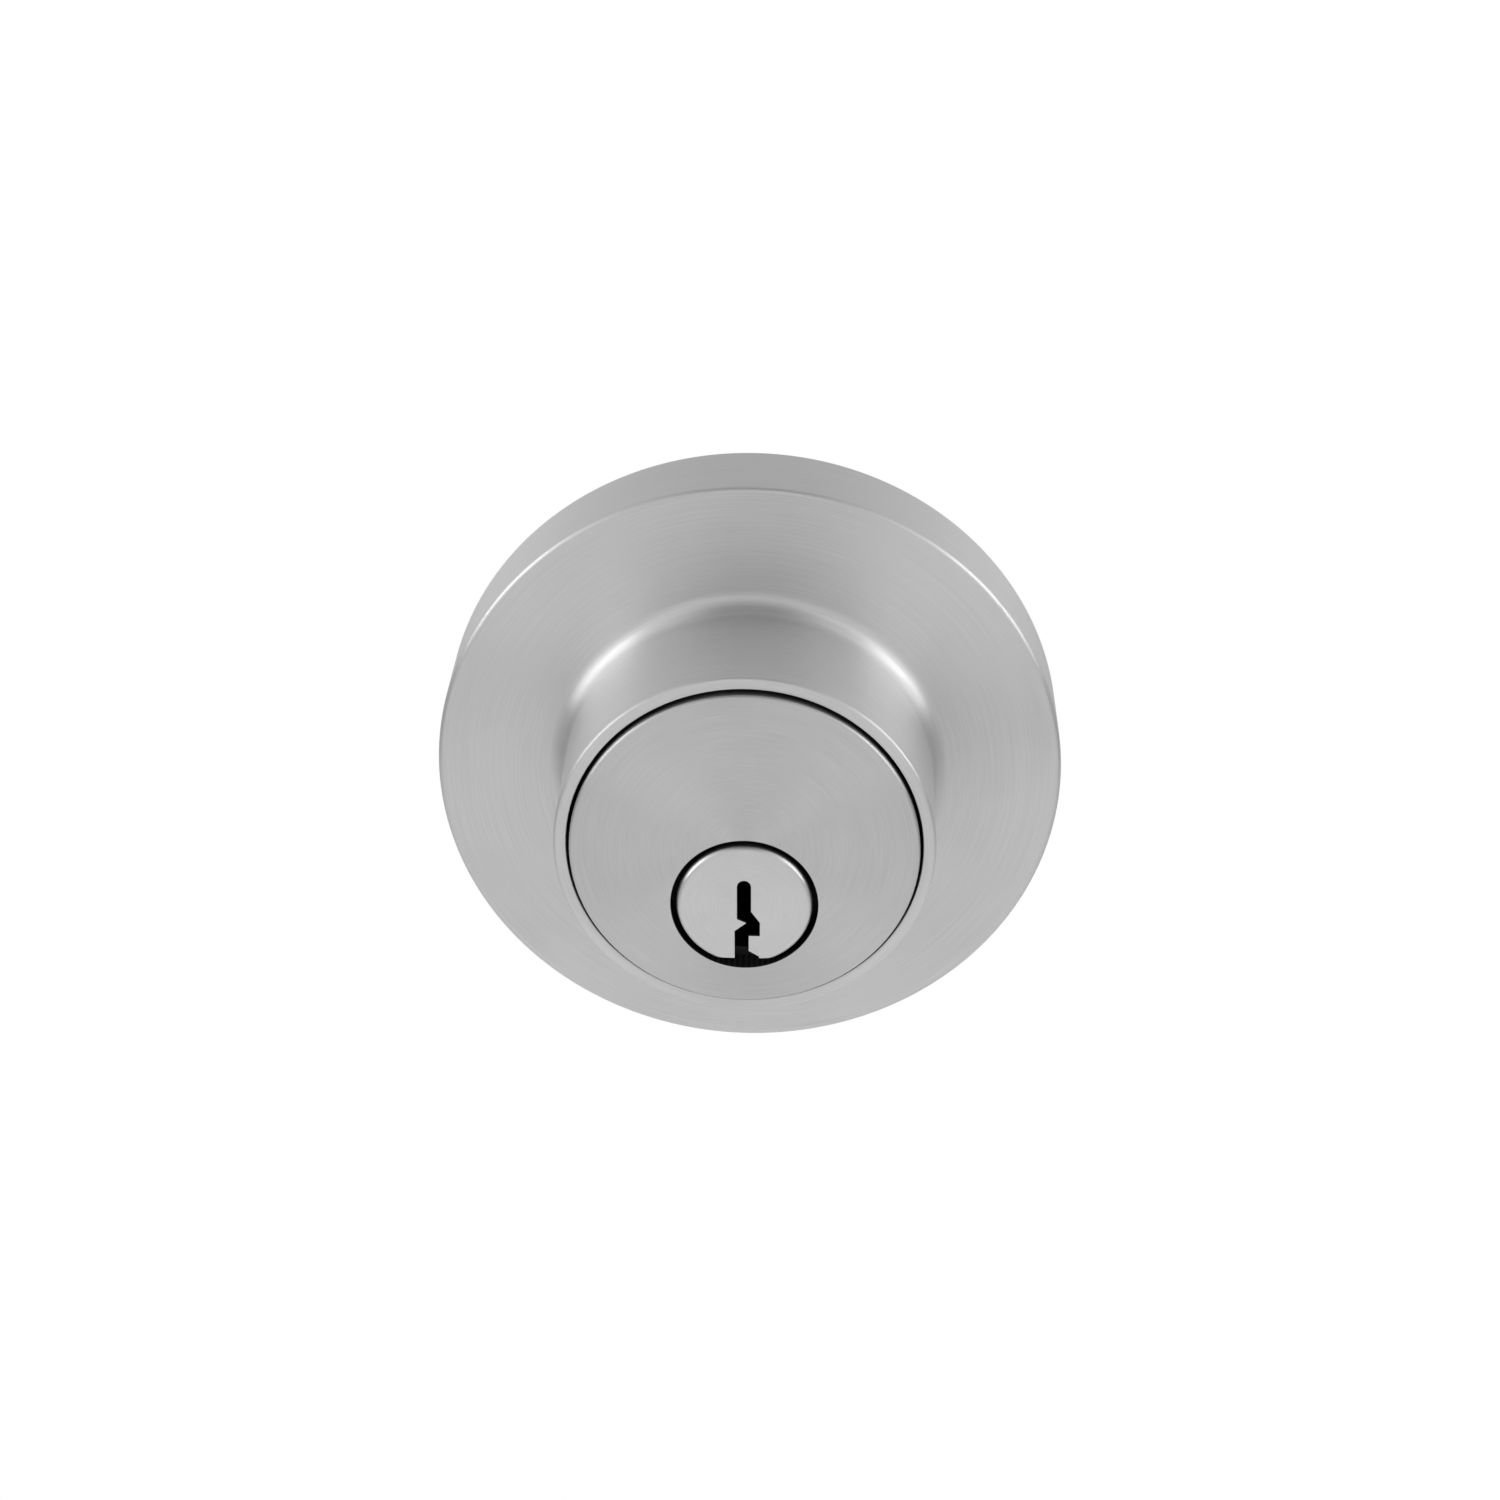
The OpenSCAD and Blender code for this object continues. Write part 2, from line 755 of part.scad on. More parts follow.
module inner_plate() {
    y1 = door_t + inner_plate_t;
    color("lightsteelblue") difference() {
        union() {
            rod_y(inner_plate_r, door_t, y1);
            block(
                [-inner_plate_r + 1, y1 - eps, -lug_w / 2],
                [-inner_plate_r + 1 + lug_t, y1 + lug_h, lug_w / 2]
            );
        }
        for (s = [-1, 1])
            rod_y(screw_r + 0.3, door_t - past, y1 + past, 0, s * screw_reach);
        rod_y(spindle_r + 3, door_t - past, y1 + past, 0, plug_z);
        rod_x(set_screw_r + seated, -inner_plate_r, -inner_plate_r + 2 * lug_t, y1 + lug_h / 2);
    }
}

// Pan-head machine screws that draw the two units together
module mounting_screws() {
    y0 = door_t + inner_plate_t;
    slot_w = 1.1;
    color("lightgray") for (s = [-1, 1]) difference() {
        union() {
            rod_y(screw_r, post_end - 9, y0, 0, s * screw_reach);
            translate([0, 0, s * screw_reach]) rotate([180, 0, 0]) turned(concat(
                [[0, y0], [pan_head_r, y0]],
                arc([pan_head_r - 0.8, y0 + pan_head_h - 0.8], 0.8, 0, 90, 4),
                [[0, y0 + pan_head_h]]
            ));
        }
        for (a = [0, 90]) translate([0, 0, s * screw_reach]) rotate([0, a, 0]) block(
            [-slot_w / 2, y0 + 0.9, -2.5],
            [slot_w / 2, y0 + pan_head_h + past, 2.5]
        );
    }
}

module inner_rose() {
    y0 = inner_face - shell_t;
    color("silver") difference() {
        union() {
            rotate([180, 0, 0]) turned(concat(
                [[rose_r - shell_t, door_t], [rose_r, door_t]],
                arc([rose_r - edge_r, inner_face - edge_r], edge_r, 0, 90),
                [[0, inner_face], [0, y0], [rose_r - shell_t, y0]]
            ));
            translate([0, 0, plug_z]) rotate([180, 0, 0]) turned(concat(
                [[0, y0], [boss_ring_r, y0]],
                arc([boss_ring_r - 1, inner_face + boss_ring_h - 1], 1, 0, 90),
                [[0, inner_face + boss_ring_h]]
            ));
        }
        rod_y(spindle_r + running + bush_t + seated, y0 - past, turn_front, 0, plug_z);
        rod_x(set_screw_r + 0.3, -rose_r - past, -rose_r + 4, door_t + inner_plate_t + lug_h / 2);
    }
}

module rose_set_screw() {
    color("dimgray") rod_x(set_screw_r, -rose_r + 0.3, -inner_plate_r + lug_t + 0.9,
                           door_t + inner_plate_t + lug_h / 2);
}

module turn_spindle() {
    slot = [tail_t + 2 * tail_slot_gap, tail_w + 2 * tail_slot_gap];
    groove_y = spindle_back + 1;
    color("darkkhaki") translate([0, 0, plug_z]) difference() {
        rod_y(spindle_r, spindle_back, turn_back + turn_base_t - 0.2);
        block(
            [-slot[0] / 2, spindle_back - past, -slot[1] / 2],
            [slot[0] / 2, turn_back - 0.5, slot[1] / 2]
        );
        difference() {
            rod_y(spindle_r + past, groove_y, groove_y + clip_t + 0.1);
            rod_y(spindle_r - clip_groove, groove_y - past, groove_y + clip_t + past);
        }
    }
}

module turn_bushing() {
    y0 = inner_face - shell_t;
    color("whitesmoke") translate([0, 0, plug_z]) difference() {
        union() {
            rod_y(spindle_r + running + bush_t, y0 - 0.1, bush_front);
            rod_y(bush_flange_r, y0 - bush_flange_t - seated, y0 - seated);
        }
        rod_y(spindle_r + running, y0 - bush_flange_t - past, bush_front + past);
    }
}

module turn_circlip() {
    y0 = spindle_back + 1 + seated;
    color("gray") translate([0, 0, plug_z]) difference() {
        rod_y(spindle_r + 1.9, y0, y0 + clip_t);
        rod_y(spindle_r - clip_groove + seated, y0 - past, y0 + clip_t + past);
        block([-3, y0 - past, -2 * spindle_r], [3, y0 + clip_t + past, 0]);
    }
}

module wave_washer() {
    y1 = inner_face - shell_t - bush_flange_t - seated - 0.1;
    color("gray") translate([0, 0, plug_z]) difference() {
        rod_y(spindle_r + 2.6, y1 - washer_t, y1);
        rod_y(spindle_r + 0.2, y1 - washer_t - past, y1 + past);
    }
}

module thumb_turn() {
    round_r = blade_l / 2 + 1.5;
    color("silver") translate([0, 0, plug_z]) difference() {
        union() {
            rotate([180, 0, 0]) turned(concat(
                [[0, turn_back], [turn_base_r, turn_back]],
                arc([turn_base_r - 1, turn_back + turn_base_t - 1], 1, 0, 90),
                [[0, turn_back + turn_base_t]]
            ));
            intersection() {
                along_y(turn_back + turn_base_t - 1, turn_front) union() {
                    square([blade_t, blade_l - blade_t], center = true);
                    for (s = [-1, 1])
                        translate([0, s * (blade_l - blade_t) / 2]) circle(d = blade_t);
                }
                rod_x(round_r, -blade_t, blade_t, turn_front - round_r, 0);
            }
        }
        rod_y(spindle_r + seated, turn_back - past, turn_back + turn_base_t - 0.1);
        rod_z(set_screw_r + seated, -turn_base_r - past, 0, 0, turn_back + turn_base_t / 2);
    }
}

module turn_set_screw() {
    color("dimgray") translate([0, 0, plug_z])
        rod_z(set_screw_r, -turn_base_r + 0.4, -spindle_r - seated, 0,
              turn_back + turn_base_t / 2);
}

outer_rose();
cylinder_housing();
mounting_posts();
reinforcing_plate();
cylinder_body();
cylinder_circlip();
drill_guard_pins();
chamber_cover();
plug();
plug_cap();
cap_pin();
tailpiece();
key_pin(1);  // key_pin_1
key_pin(2);  // key_pin_2
key_pin(3);  // key_pin_3
key_pin(4);  // key_pin_4
key_pin(5);  // key_pin_5
driver_pin(1);  // driver_pin_1
driver_pin(2);  // driver_pin_2
driver_pin(3);  // driver_pin_3
driver_pin(4);  // driver_pin_4
driver_pin(5);  // driver_pin_5
pin_spring(1);  // pin_spring_1
pin_spring(2);  // pin_spring_2
pin_spring(3);  // pin_spring_3
pin_spring(4);  // pin_spring_4
pin_spring(5);  // pin_spring_5
case_half_outer();
case_half_inner();
case_rivets();
detent_spring();
bolt_head();
bolt_bar();
bolt_pin();
saw_roller_outer();
saw_roller_inner();
bolt_hub();
faceplate();
faceplate_backing();
faceplate_screws();
inner_plate();
mounting_screws();
inner_rose();
rose_set_screw();
turn_spindle();
turn_bushing();
wave_washer();
turn_circlip();
thumb_turn();
turn_set_screw();
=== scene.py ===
"""Single-cylinder deadbolt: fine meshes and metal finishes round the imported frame."""

import json
import math

import bmesh
import bpy
from mathutils import Matrix, Vector


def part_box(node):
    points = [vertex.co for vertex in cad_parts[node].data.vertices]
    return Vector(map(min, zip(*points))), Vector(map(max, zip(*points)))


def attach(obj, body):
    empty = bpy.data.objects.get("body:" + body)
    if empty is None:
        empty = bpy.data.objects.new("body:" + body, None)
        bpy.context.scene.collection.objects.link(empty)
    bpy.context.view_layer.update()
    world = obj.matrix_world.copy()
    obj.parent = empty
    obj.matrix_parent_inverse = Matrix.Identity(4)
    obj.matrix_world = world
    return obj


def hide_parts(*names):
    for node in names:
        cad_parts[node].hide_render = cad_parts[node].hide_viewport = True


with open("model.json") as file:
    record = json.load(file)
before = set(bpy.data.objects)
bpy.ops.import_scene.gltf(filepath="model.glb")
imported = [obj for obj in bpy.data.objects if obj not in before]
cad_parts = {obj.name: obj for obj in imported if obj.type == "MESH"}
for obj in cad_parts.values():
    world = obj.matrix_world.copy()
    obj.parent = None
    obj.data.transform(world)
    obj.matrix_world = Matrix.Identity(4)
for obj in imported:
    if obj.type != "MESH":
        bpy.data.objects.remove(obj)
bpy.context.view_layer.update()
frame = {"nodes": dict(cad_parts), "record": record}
NODES = frame["nodes"]
BODY_OF = {node: body for body, group in frame["record"]["behaviour"]["bodies"].items() for node in group}
MM = 0.001
# Points of a mesh nearer than this are one point, in millimetres
WELD = 1e-4
# How far a cutting shape runs past the face that it cuts
PAST = 2.0


# ---------------------------------------------------------------- places, in millimetres
def box_mm(node):
    """A node's lowest and highest corners."""
    low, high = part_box(node)
    return low / MM, high / MM


# Outside rose: outwards distances are measured from the door's outer face
ROSE_LOW, ROSE_HIGH = box_mm("outer_rose")
ROSE_R = ROSE_HIGH.x
NOSE_OUT = -ROSE_LOW.y
ROSE_H = 9.0
COLLAR_R = 19.15
SHELL = 1.3
BASE_FILLET = 2.1
EDGE_R = 0.5
RIM_R = 0.3
MOUTH_R = 0.15

# Plug and the axis that everything turns about
PLUG_LOW, PLUG_HIGH = box_mm("plug")
PLUG_R = PLUG_HIGH.x
PLUG_Z = PLUG_HIGH.z - PLUG_R
HEAD_OUT = -PLUG_LOW.y
HEAD_GAP = 0.6
KEYWAY_HALF = 1.9
KEYWAY_TOP = 4.0

# Inside unit: distances in are measured from the door's outer face too
INNER_LOW, INNER_HIGH = box_mm("inner_rose")
DOOR_T = INNER_LOW.y
BOSS_IN = INNER_HIGH.y
BOSS_R = 13.0
BOSS_H = 2.6
INNER_FACE = BOSS_IN - BOSS_H
TURN_LOW, TURN_HIGH = box_mm("thumb_turn")
TURN_BASE_R = TURN_HIGH.x
TURN_BASE_T = 3.4
BLADE_HALF_L = TURN_HIGH.z - PLUG_Z
BLADE_T = 8.0
SPINDLE_R = box_mm("turn_spindle")[1].x

# Bolt and its axis
BOLT_LOW, BOLT_HIGH = box_mm("bolt_head")
BOLT_Y = (BOLT_LOW.y + BOLT_HIGH.y) / 2
DOOR_EDGE = BOLT_HIGH.x


# ---------------------------------------------------------------- mesh tools
def arc(centre, radius, start, end, steps=10):
    """Points of an arc, from one angle to another in degrees."""
    angles = [math.radians(start + (end - start) * i / steps) for i in range(steps + 1)]
    return [(centre[0] + radius * math.cos(a), centre[1] + radius * math.sin(a)) for a in angles]


def new_piece(name, bm, body, slot, nodes=(), finish=None, sharp=32.0):
    """Makes a bmesh drawn in millimetres into a piece that rides a body and stands for CAD nodes."""
    bmesh.ops.remove_doubles(bm, verts=bm.verts, dist=WELD)
    bmesh.ops.recalc_face_normals(bm, faces=bm.faces)
    bmesh.ops.scale(bm, vec=(MM, MM, MM), verts=bm.verts)
    mesh = bpy.data.meshes.new(name)
    bm.to_mesh(mesh)
    bm.free()
    mesh.shade_smooth()
    mesh.set_sharp_from_angle(angle=math.radians(sharp))
    piece = bpy.data.objects.new(name, mesh)
    bpy.context.scene.collection.objects.link(piece)
    mesh.materials.append(FINISHES[finish or slot])
    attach(piece, body)
    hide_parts(*nodes)
    weighted = piece.modifiers.new("level_flats", "WEIGHTED_NORMAL")
    weighted.keep_sharp = True
    weighted.weight = 100
    return piece


def turned(outline, z=0.0, side=-1, turns=288):
    """A bmesh turned about an axis along Y at height z, from a closed list of (radius, distance).

    side is -1 when the distances run outwards and 1 when they run inwards.
    """
    bm = bmesh.new()
    ring = [bm.verts.new((radius, side * out, 0)) for radius, out in outline]
    edges = [bm.edges.new((ring[i], ring[(i + 1) % len(ring)])) for i in range(len(ring))]
    bmesh.ops.spin(
        bm,
        geom=ring + edges,
        cent=(0, 0, 0),
        axis=(0, 1, 0),
        angle=2 * math.pi,
        steps=turns,
        use_merge=True,
    )
    bmesh.ops.translate(bm, vec=(0, 0, z), verts=bm.verts)
    bmesh.ops.remove_doubles(bm, verts=bm.verts, dist=WELD)
    bmesh.ops.dissolve_degenerate(bm, edges=bm.edges, dist=1e-5)
    bmesh.ops.recalc_face_normals(bm, faces=bm.faces)
    return bm


def prism(outline, low, high, axis="Y"):
    """A bmesh extruded from a list of two coordinates, between two stations along an axis."""
    bm = bmesh.new()
    spot = {
        "X": lambda a, b, c: (c, a, b),
        "Y": lambda a, b, c: (a, c, b),
        "Z": lambda a, b, c: (a, b, c),
    }[axis]
    ends = [[bm.verts.new(spot(a, b, c)) for a, b in outline] for c in (low, high)]
    bm.faces.new(ends[0])
    bm.faces.new(ends[1][::-1])
    for i in range(len(outline)):
        k = (i + 1) % len(outline)
        bm.faces.new((ends[0][i], ends[0][k], ends[1][k], ends[1][i]))
    bmesh.ops.recalc_face_normals(bm, faces=bm.faces)
    return bm


def combined(first, second, operation):
    """Joins or cuts two closed bmeshes and returns a new bmesh; both given ones are freed."""
    made = []
    for bm in (first, second):
        mesh = bpy.data.meshes.new("work")
        bm.to_mesh(mesh)
        bm.free()
        work = bpy.data.objects.new("work", mesh)
        bpy.context.scene.collection.objects.link(work)
        made.append(work)
    step = made[0].modifiers.new("step", "BOOLEAN")
    step.operation = operation
    step.object = made[1]
    step.solver = "EXACT"
    bpy.context.view_layer.update()
    graph = bpy.context.evaluated_depsgraph_get()
    result = bpy.data.meshes.new_from_object(made[0].evaluated_get(graph))
    out = bmesh.new()
    out.from_mesh(result)
    for work in made:
        bpy.data.meshes.remove(work.data)
    bpy.data.meshes.remove(result)
    return out


def bevelled(bm, width, segments=3, over=25.0):
    """Rounds every edge of a bmesh that turns more than an angle in degrees."""
    bmesh.ops.remove_doubles(bm, verts=bm.verts, dist=WELD)
    bmesh.ops.dissolve_limit(
        bm, angle_limit=math.radians(0.3), use_dissolve_boundaries=False, verts=bm.verts, edges=bm.edges
    )
    edges = [e for e in bm.edges if len(e.link_faces) == 2 and e.calc_face_angle(0) > math.radians(over)]
    bmesh.ops.bevel(
        bm,
        geom=edges,
        offset=width,
        offset_type="OFFSET",
        segments=segments,
        profile=0.5,
        affect="EDGES",
        clamp_overlap=True,
    )
    return bm


def softened(node, width, finish=None, segments=2):
    """A copy of a CAD node with its edges broken, as on a deburred piece."""
    bm = bmesh.new()
    bm.from_mesh(NODES[node].data)
    bmesh.ops.scale(bm, vec=(1 / MM,) * 3, verts=bm.verts)
    bevelled(bm, width, segments)
    return new_piece(node + "_softened", bm, BODY_OF[node], SLOT_OF[node], [node], finish)


def helix_screw(profile, thread, turns=48):
    """A screw along +X from its head, as (station, radius) points, with a helical thread.

    thread is (start, end, pitch, depth); the profile's radius is the thread's crest.
    """
    start, end, pitch, depth = thread
    stations = []
    for (x0, r0), (x1, r1) in zip(profile, profile[1:]):
        pieces = max(1, round(abs(x1 - x0) / pitch * 10)) if start <= x0 < end else 1
        stations += [(x0 + (x1 - x0) * i / pieces, r0 + (r1 - r0) * i / pieces) for i in range(pieces)]
    stations.append(profile[-1])
    bm = bmesh.new()
    rings = []
    for x, r in stations:
        ring = []
        for i in range(turns):
            share = i / turns
            cut = 0.0
            if start <= x <= end:
                fade = min(1.0, (x - start) / pitch, max(0.0, end - x) / pitch + 0.25)
                wave = abs(2 * ((x / pitch - share) % 1.0) - 1)
                cut = depth * fade * min(1.0, max(0.0, 1.25 - 1.5 * wave))
            a = 2 * math.pi * share
            q = max(r - cut, 0.02)
            ring.append(bm.verts.new((x, q * math.cos(a), q * math.sin(a))))
        rings.append(ring)
    for near, far in zip(rings, rings[1:]):
        for i in range(turns):
            k = (i + 1) % turns
            bm.faces.new((near[i], near[k], far[k], far[i]))
    bm.faces.new(rings[0][::-1])
    bm.faces.new(rings[-1])
    bmesh.ops.recalc_face_normals(bm, faces=bm.faces)
    return bm


def cross_recess(reach, depth, wing=0.45):
    """Cutter for a cross recess that tapers with depth, along +X from the head's face at x = 0."""
    out = None
    for turn in (0, 90):
        bm = bmesh.new()
        over = 0.5
        corners = ((-1, -1), (1, -1), (1, 1), (-1, 1))
        low = [bm.verts.new((depth, y * reach * 0.35, z * wing * 0.7)) for y, z in corners]
        high = [bm.verts.new((-over, y * reach * 1.1, z * wing * 1.1)) for y, z in corners]
        bm.faces.new(low)
        bm.faces.new(high[::-1])
        for i in range(4):
            k = (i + 1) % 4
            bm.faces.new((low[i], low[k], high[k], high[i]))
        bmesh.ops.recalc_face_normals(bm, faces=bm.faces)
        quarter = Matrix.Rotation(math.radians(turn), 3, "X")
        bmesh.ops.rotate(bm, cent=(0, 0, 0), matrix=quarter, verts=bm.verts)
        out = bm if out is None else combined(out, bm, "UNION")
    return out


def merged(parts):
    """One bmesh holding copies of several, each with its own transform; the given ones are freed."""
    out = bmesh.new()
    for bm, move in parts:
        copy = bpy.data.meshes.new("copy")
        bm.to_mesh(copy)
        copy.transform(move)
        out.from_mesh(copy)
        bpy.data.meshes.remove(copy)
        bm.free()
    return out


# ---------------------------------------------------------------- materials
def colour(text):
    """An sRGB hex colour as linear red, green, blue and alpha."""
    parts = [int(text[i : i + 2], 16) / 255 for i in (0, 2, 4)]
    return tuple(c / 12.92 if c <= 0.04045 else ((c + 0.055) / 1.055) ** 2.4 for c in parts) + (1.0,)


def add(tree, kind, values=None, **settings):
    """Adds a node with its settings; a value is a number, a colour or another node's output."""
    node = tree.nodes.new(kind)
    for name, value in settings.items():
        setattr(node, name, value)
    for name, value in (values or {}).items():
        if isinstance(value, bpy.types.NodeSocket):
            tree.links.new(value, node.inputs[name])
        else:
            node.inputs[name].default_value = value
    return node


def split_up(tree, here):
    """A place's X, Y and Z outputs, and how far it lies to either side of X = 0."""
    split = add(tree, "ShaderNodeSeparateXYZ", {0: here}).outputs
    return split, add(tree, "ShaderNodeMath", {0: split["X"]}, operation="ABSOLUTE").outputs[0]


# Painted shade in narrow gaps, from ambient occlusion: how far it looks for a wall in millimetres, how
# open a place is where it starts and where it ends, and how dark it gets
SHADE_REACH, SHADE_FULL, SHADE_NONE, SHADE_DARK = 1.6, 0.18, 0.55, 0.12
# How far the roughness swings to either side
SHEEN_SWING = 0.05


def metal(
    name, light, dark, rough, lines, cloud_mm, swing, lift_mm, stretch=0.0, metallic=1.0, recess_shade=None
):
    """A metal or plastic whose colour, sheen and relief follow a fine pattern and a slow cloud.

    lines is a function of the tree that gives the fine pattern's place and the way it runs;
    the last argument is a function that gives 1 on the open faces and near 0 in the bores, where it paints
    shade.
    """
    material = bpy.data.materials.new(name)
    material.use_nodes = True
    tree = material.node_tree
    shader = tree.nodes["Principled BSDF"]
    shader.inputs["Metallic"].default_value = metallic
    place, tangent, turn = lines(tree)
    fine = add(
        tree, "ShaderNodeTexNoise", {"Vector": place, "Scale": 1.0, "Detail": 3.0, "Roughness": 0.55}
    ).outputs[0]
    here = add(tree, "ShaderNodeTexCoord").outputs["Object"]
    cloud = add(
        tree, "ShaderNodeTexNoise", {"Vector": here, "Scale": 1 / (MM * cloud_mm), "Detail": 3.0}
    ).outputs[0]
    both = add(
        tree, "ShaderNodeMix", {"Factor": 0.35, "A": fine, "B": cloud}, data_type="FLOAT"
    ).outputs[0]
    blend = add(
        tree, "ShaderNodeMapRange", {"Value": both, "From Min": 0.5 - swing, "From Max": 0.5 + swing}
    ).outputs[0]
    paint = add(
        tree, "ShaderNodeMix", {"Factor": blend, "A": colour(light), "B": colour(dark)}, data_type="RGBA"
    ).outputs["Result"]
    # Painted shade: ambient occlusion darkens the colour in the narrow gaps and recesses
    hollow = add(
        tree, "ShaderNodeAmbientOcclusion", {"Distance": MM * SHADE_REACH}, samples=6
    ).outputs["AO"]
    painted_shade = add(
        tree,
        "ShaderNodeMapRange",
        {"Value": hollow, "From Min": SHADE_FULL, "From Max": SHADE_NONE, "To Min": SHADE_DARK},
    ).outputs[0]
    # Painted shade: the bore and keyway masks darken the colour inside these recesses
    if recess_shade is not None:
        painted_shade = add(tree, "ShaderNodeMath", {0: painted_shade, 1: recess_shade(tree)}, operation="MULTIPLY").outputs[0]
    shaded = add(
        tree,
        "ShaderNodeMix",
        {"Factor": 1.0, "A": paint, "B": painted_shade},
        data_type="RGBA",
        blend_type="MULTIPLY",
    ).outputs["Result"]
    tree.links.new(shaded, shader.inputs["Base Color"])
    sheen = add(
        tree,
        "ShaderNodeMapRange",
        {
            "Value": both,
            "From Min": 0.3,
            "From Max": 0.7,
            "To Min": rough - SHEEN_SWING,
            "To Max": rough + SHEEN_SWING,
        },
    ).outputs[0]
    tree.links.new(sheen, shader.inputs["Roughness"])
    relief = add(
        tree, "ShaderNodeBump", {"Strength": 0.3, "Distance": MM * lift_mm, "Height": fine}
    ).outputs[0]
    tree.links.new(relief, shader.inputs["Normal"])
    if tangent is not None:
        shader.inputs["Anisotropic"].default_value = stretch
        shader.inputs["Anisotropic Rotation"].default_value = turn
        tree.links.new(tangent, shader.inputs["Tangent"])
    return material


def bore_shade(centre_z, radius):
    """Painted shade: dark inside a bore about an axis along Y at height centre_z."""

    def mask(tree):
        here = add(tree, "ShaderNodeTexCoord").outputs["Object"]
        about = add(
            tree, "ShaderNodeVectorMath", {0: here, 1: (0, 0, centre_z * MM)}, operation="SUBTRACT"
        ).outputs[0]
        flat = add(tree, "ShaderNodeVectorMath", {0: about, 1: (1, 0, 1)}, operation="MULTIPLY").outputs[0]
        away = add(tree, "ShaderNodeVectorMath", {0: flat}, operation="LENGTH").outputs["Value"]
        return add(
            tree,
            "ShaderNodeMapRange",
            {"Value": away, "From Min": MM * radius, "From Max": MM * (radius + 0.04), "To Min": 0.06},
        ).outputs[0]

    return mask


def slot_shade(half_width, front, top):
    """Painted shade: dark inside a slot about X = 0, behind the station front and below the height top."""

    def mask(tree):
        here = add(tree, "ShaderNodeTexCoord").outputs["Object"]
        split, aside = split_up(tree, here)
        beside = add(
            tree,
            "ShaderNodeMapRange",
            {"Value": aside, "From Min": MM * half_width, "From Max": MM * (half_width + 0.1)},
        ).outputs[0]
        before = add(
            tree,
            "ShaderNodeMapRange",
            {"Value": split["Y"], "From Min": MM * (front + 0.35), "From Max": MM * front},
        ).outputs[0]
        either = add(tree, "ShaderNodeMath", {0: beside, 1: before}, operation="MAXIMUM").outputs[0]
        above = add(
            tree,
            "ShaderNodeMapRange",
            {"Value": split["Z"], "From Min": MM * top, "From Max": MM * (top + 0.1), "To Min": 0.05},
        ).outputs[0]
        return add(tree, "ShaderNodeMath", {0: either, 1: above}, operation="MAXIMUM").outputs[0]

    return mask


def in_rings(centre_z, grit_mm, stroke=2.2):
    """Grit lines in rings about an axis along Y at height centre_z, each stroke a part of a turn."""

    def lines(tree):
        here = add(tree, "ShaderNodeTexCoord").outputs["Object"]
        about = add(
            tree, "ShaderNodeVectorMath", {0: here, 1: (0, 0, centre_z * MM)}, operation="SUBTRACT"
        ).outputs[0]
        flat = add(
            tree, "ShaderNodeVectorMath", {0: about, 1: (1, 0, 1)}, operation="MULTIPLY"
        ).outputs[0]
        radius = add(tree, "ShaderNodeVectorMath", {0: flat}, operation="LENGTH").outputs["Value"]
        way = add(tree, "ShaderNodeVectorMath", {0: flat}, operation="NORMALIZE").outputs[0]
        slow = add(
            tree, "ShaderNodeVectorMath", {0: way, "Scale": stroke}, operation="SCALE"
        ).outputs[0]
        depth = add(tree, "ShaderNodeSeparateXYZ", {0: about}).outputs["Y"]
        across = add(tree, "ShaderNodeMath", {0: radius, 1: depth}, operation="SUBTRACT").outputs[0]
        count = add(
            tree, "ShaderNodeMath", {0: across, 1: 1 / (MM * grit_mm)}, operation="MULTIPLY"
        ).outputs[0]
        lifted = add(tree, "ShaderNodeCombineXYZ", {"Y": count}).outputs[0]
        place = add(tree, "ShaderNodeVectorMath", {0: slow, 1: lifted}, operation="ADD").outputs[0]
        tangent = add(tree, "ShaderNodeTangent", direction_type="RADIAL", axis="Y").outputs[0]
        # A quarter turn: light spreads across the grit lines, not along them
        return place, tangent, 0.25

    return lines


def straight(way, grit_mm, stroke_mm=9.0):
    """Grit lines that all run one way, as from a belt."""

    def lines(tree):
        here = add(tree, "ShaderNodeTexCoord").outputs["Object"]
        scale = tuple(1 / (MM * (stroke_mm if w else grit_mm)) for w in way)
        place = add(tree, "ShaderNodeVectorMath", {0: here, 1: scale}, operation="MULTIPLY").outputs[0]
        tangent = add(
            tree,
            "ShaderNodeVectorTransform",
            {0: way},
            vector_type="VECTOR",
            convert_from="OBJECT",
            convert_to="WORLD",
        ).outputs[0]
        return place, tangent, 0.25

    return lines


def speckled(size_mm):
    """A pattern with no direction, as on plated, cast or moulded skin."""

    def lines(tree):
        here = add(tree, "ShaderNodeTexCoord").outputs["Object"]
        place = add(
            tree, "ShaderNodeVectorMath", {0: here, "Scale": 1 / (MM * size_mm)}, operation="SCALE"
        ).outputs[0]
        return place, None, 0.0

    return lines


